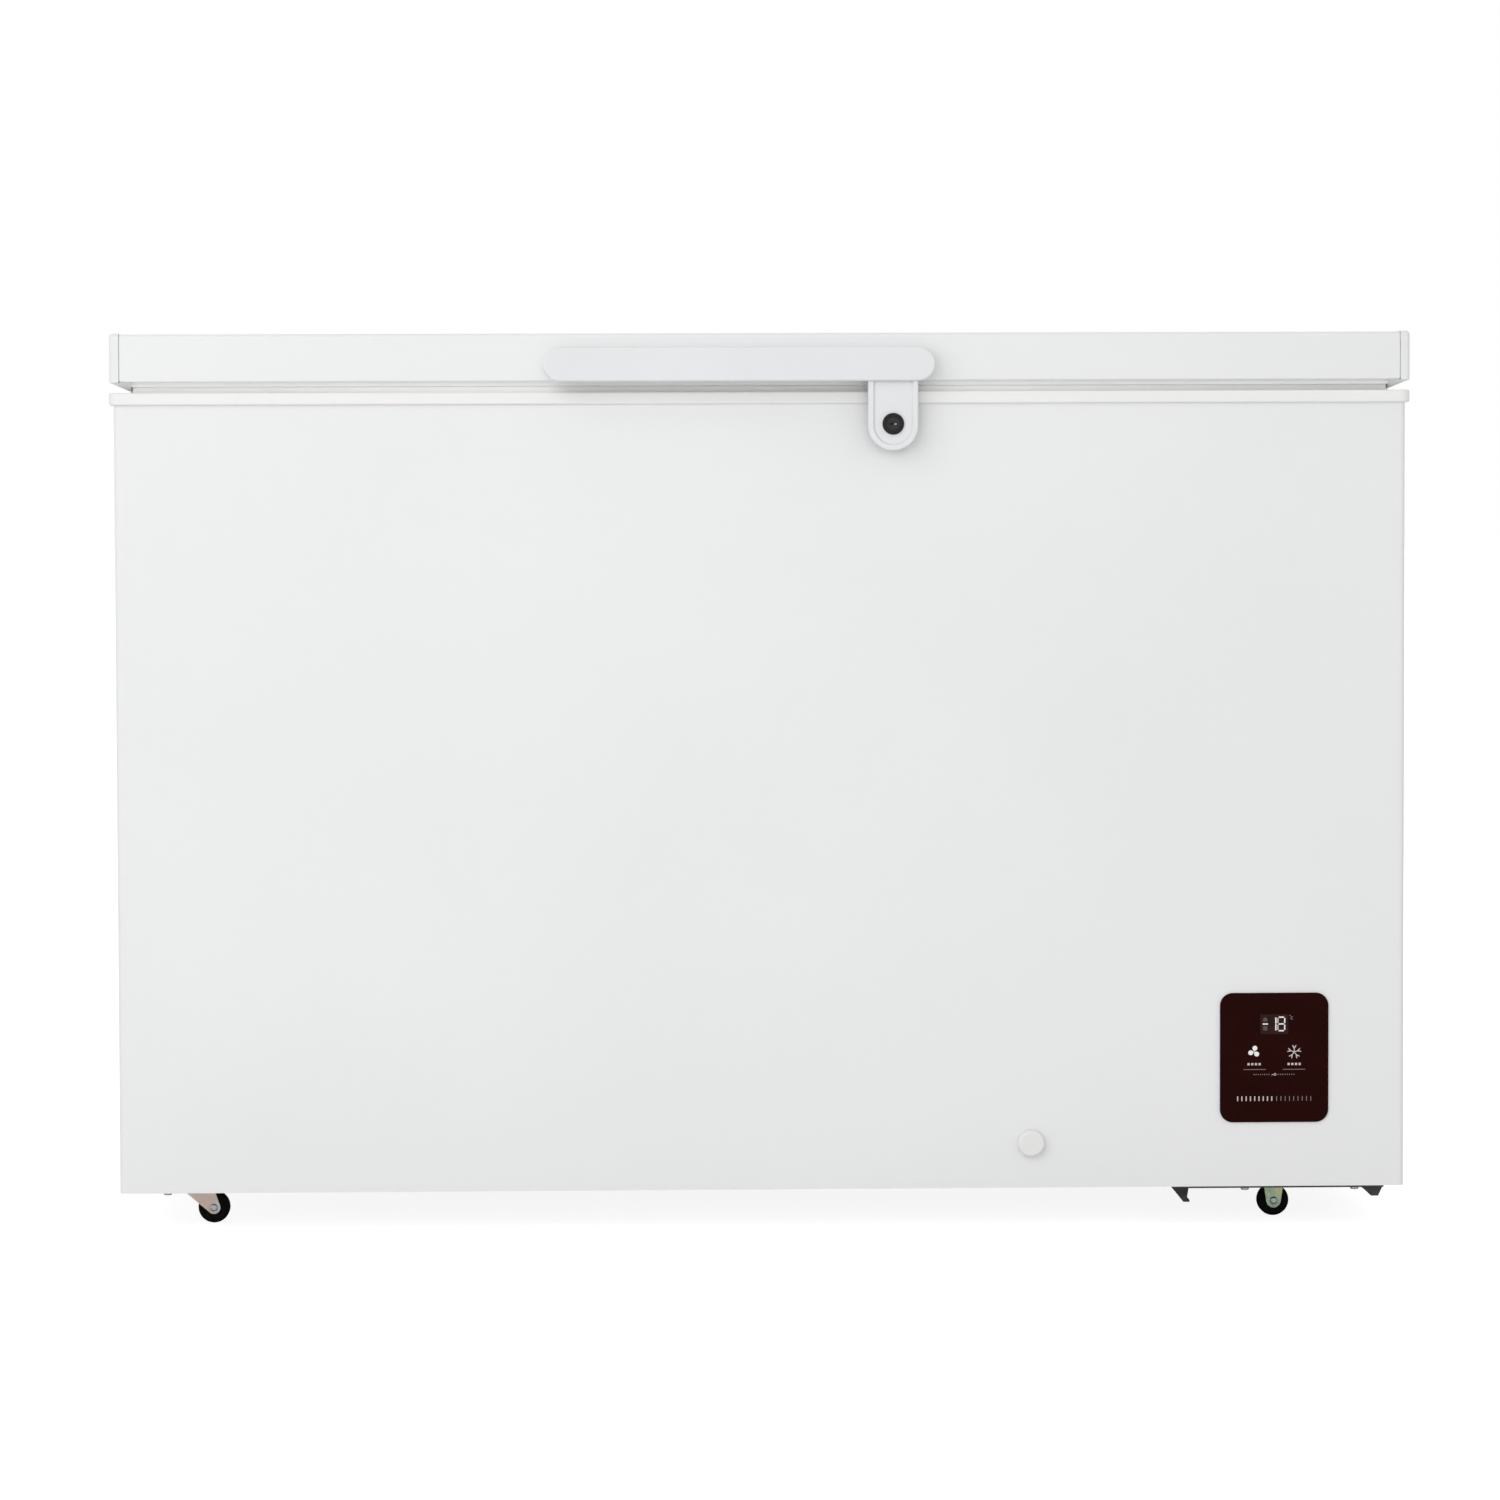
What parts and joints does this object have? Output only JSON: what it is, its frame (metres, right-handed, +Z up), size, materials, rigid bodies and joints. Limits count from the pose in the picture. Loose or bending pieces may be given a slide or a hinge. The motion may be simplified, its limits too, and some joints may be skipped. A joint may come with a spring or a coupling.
{
  "type": "chest freezer",
  "caption": "White chest freezer on casters: foam-filled steel cabinet with a stepped tub, hinged insulated lid, bar handle with a key lock, touch panel, drain and sliding wire basket.",
  "frame": {"origin": "on the floor under the centre of the overall box, handle and hinges included", "axes": "+X to the viewer's right when facing the front, +Y to the back, +Z up"},
  "size_m": [1.254, 0.77, 0.8688],
  "materials": {
    "white_paint": "smooth gloss paint",
    "back_paint": "semi-gloss paint",
    "galvanised": "spangled zinc",
    "hinge_steel": "bright zinc",
    "screw_zinc": "bright zinc",
    "white_plastic": "satin moulded",
    "collar_plastic": "satin moulded, warm white",
    "drain_plastic": "plain moulded",
    "foam": "closed-cell foam",
    "liner_sheet": "stucco embossed",
    "gasket": "soft satin",
    "dark_steel": "dip-coated satin",
    "black_rubber": "matte",
    "black_plastic": "matte moulded",
    "grey_plastic": "matte moulded",
    "copper": "drawn tube",
    "condenser_steel": "drawn tube",
    "evaporator_tube": "drawn tube",
    "dark_glass": "polished",
    "circuit_board": "lacquered board",
    "lock_black": "black gloss",
    "zinc_silver": "bright zinc, faint iridescence",
    "zinc_yellow": "yellow zinc, iridescent",
    "wheel_black": "hard moulded",
    "basket_coating": "dipped plastic coating"
  },
  "bodies": {
    "cabinet": {"cabinet_shell": "white_paint", "back_panel": "back_paint", "base_panel": "galvanised", "bay_partition": "galvanised", "insulation_foam": "foam", "inner_liner": "liner_sheet", "top_collar": "collar_plastic", "evaporator_coil": "evaporator_tube", "condenser_coil": "condenser_steel", "compressor_plate": "dark_steel", "compressor": "dark_steel", "compressor_grommets": "black_rubber", "compressor_bolts": "screw_zinc", "terminal_cover": "black_plastic", "filter_drier": "copper", "discharge_line": "copper", "suction_line": "copper", "capillary_tube": "copper", "rear_grille": "grey_plastic", "cabinet_screws": "screw_zinc", "power_gland": "black_rubber", "drain_tube": "drain_plastic", "control_housing": "black_plastic", "control_panel": "dark_glass", "control_board": "circuit_board", "lock_keeper": "hinge_steel", "hinge_channels": "hinge_steel", "hinge_pins": "hinge_steel", "hinge_springs": "hinge_steel", "swivel_plates": "zinc_silver", "swivel_kingpins": "zinc_silver", "rigid_forks": "zinc_yellow", "rigid_axles": "zinc_yellow", "base_screws": "screw_zinc"},
    "lid": {"lid_panel": "white_paint", "lid_end_cap_left": "white_plastic", "lid_end_cap_right": "white_plastic", "lid_foam": "foam", "lid_liner": "collar_plastic", "lid_gasket": "gasket", "handle": "white_plastic", "lock_housing": "white_plastic", "lock_barrel": "lock_black", "hinge_arms": "hinge_steel", "lid_screws": "screw_zinc"},
    "lock": {"lock_plug": "lock_black", "lock_cam": "hinge_steel"},
    "swivel_front": {"swivel_fork_front": "zinc_silver", "swivel_axle_front": "zinc_silver"},
    "swivel_rear": {"swivel_fork_rear": "zinc_silver", "swivel_axle_rear": "zinc_silver"},
    "wheel_front_left": {"wheel_front_left": "wheel_black"},
    "wheel_rear_left": {"wheel_rear_left": "wheel_black"},
    "wheel_front_right": {"wheel_front_right": "wheel_black"},
    "wheel_rear_right": {"wheel_rear_right": "wheel_black"},
    "basket": {"basket_frame": "basket_coating", "basket_wires": "basket_coating"},
    "drain_cap": {"drain_cap": "collar_plastic"},
    "drain_stopper": {"drain_stopper": "collar_plastic"}
  },
  "joints": [
    {"name": "lid_hinge", "type": "hinge", "parent": "cabinet", "child": "lid", "pos_m": [0, 0.363, 0.82], "axis": [-1, 0, 0], "range_deg": [0, 80], "deforming": ["hinge_springs"]},
    {"name": "lock_turn", "type": "hinge", "parent": "lid", "child": "lock", "pos_m": [0.1255, -0.37, 0.7803], "axis": [0, 1, 0], "range_deg": [0, 90]},
    {"name": "swivel_front_turn", "type": "hinge", "parent": "cabinet", "child": "swivel_front", "pos_m": [-0.551, -0.264, 0.034], "axis": [0, 0, 1], "continuous": true},
    {"name": "swivel_rear_turn", "type": "hinge", "parent": "cabinet", "child": "swivel_rear", "pos_m": [-0.551, 0.26, 0.034], "axis": [0, 0, 1], "continuous": true},
    {"name": "wheel_front_left_spin", "type": "hinge", "parent": "swivel_front", "child": "wheel_front_left", "pos_m": [-0.537, -0.264, 0.0155], "axis": [0, 1, 0], "continuous": true},
    {"name": "wheel_rear_left_spin", "type": "hinge", "parent": "swivel_rear", "child": "wheel_rear_left", "pos_m": [-0.537, 0.26, 0.0155], "axis": [0, 1, 0], "continuous": true},
    {"name": "wheel_front_right_spin", "type": "hinge", "parent": "cabinet", "child": "wheel_front_right", "pos_m": [0.505, -0.264, 0.0155], "axis": [0, 1, 0], "continuous": true},
    {"name": "wheel_rear_right_spin", "type": "hinge", "parent": "cabinet", "child": "wheel_rear_right", "pos_m": [0.505, 0.26, 0.0155], "axis": [0, 1, 0], "continuous": true},
    {"name": "basket_slide", "type": "slide", "parent": "cabinet", "child": "basket", "axis": [1, 0, 0], "range_m": [-0.78, 0]},
    {"name": "drain_cap_pull", "type": "slide", "parent": "cabinet", "child": "drain_cap", "axis": [0, -1, 0], "range_m": [0, 0.04]},
    {"name": "drain_stopper_lift", "type": "slide", "parent": "cabinet", "child": "drain_stopper", "axis": [0, 0, 1], "range_m": [0, 0.05]}
  ]
}
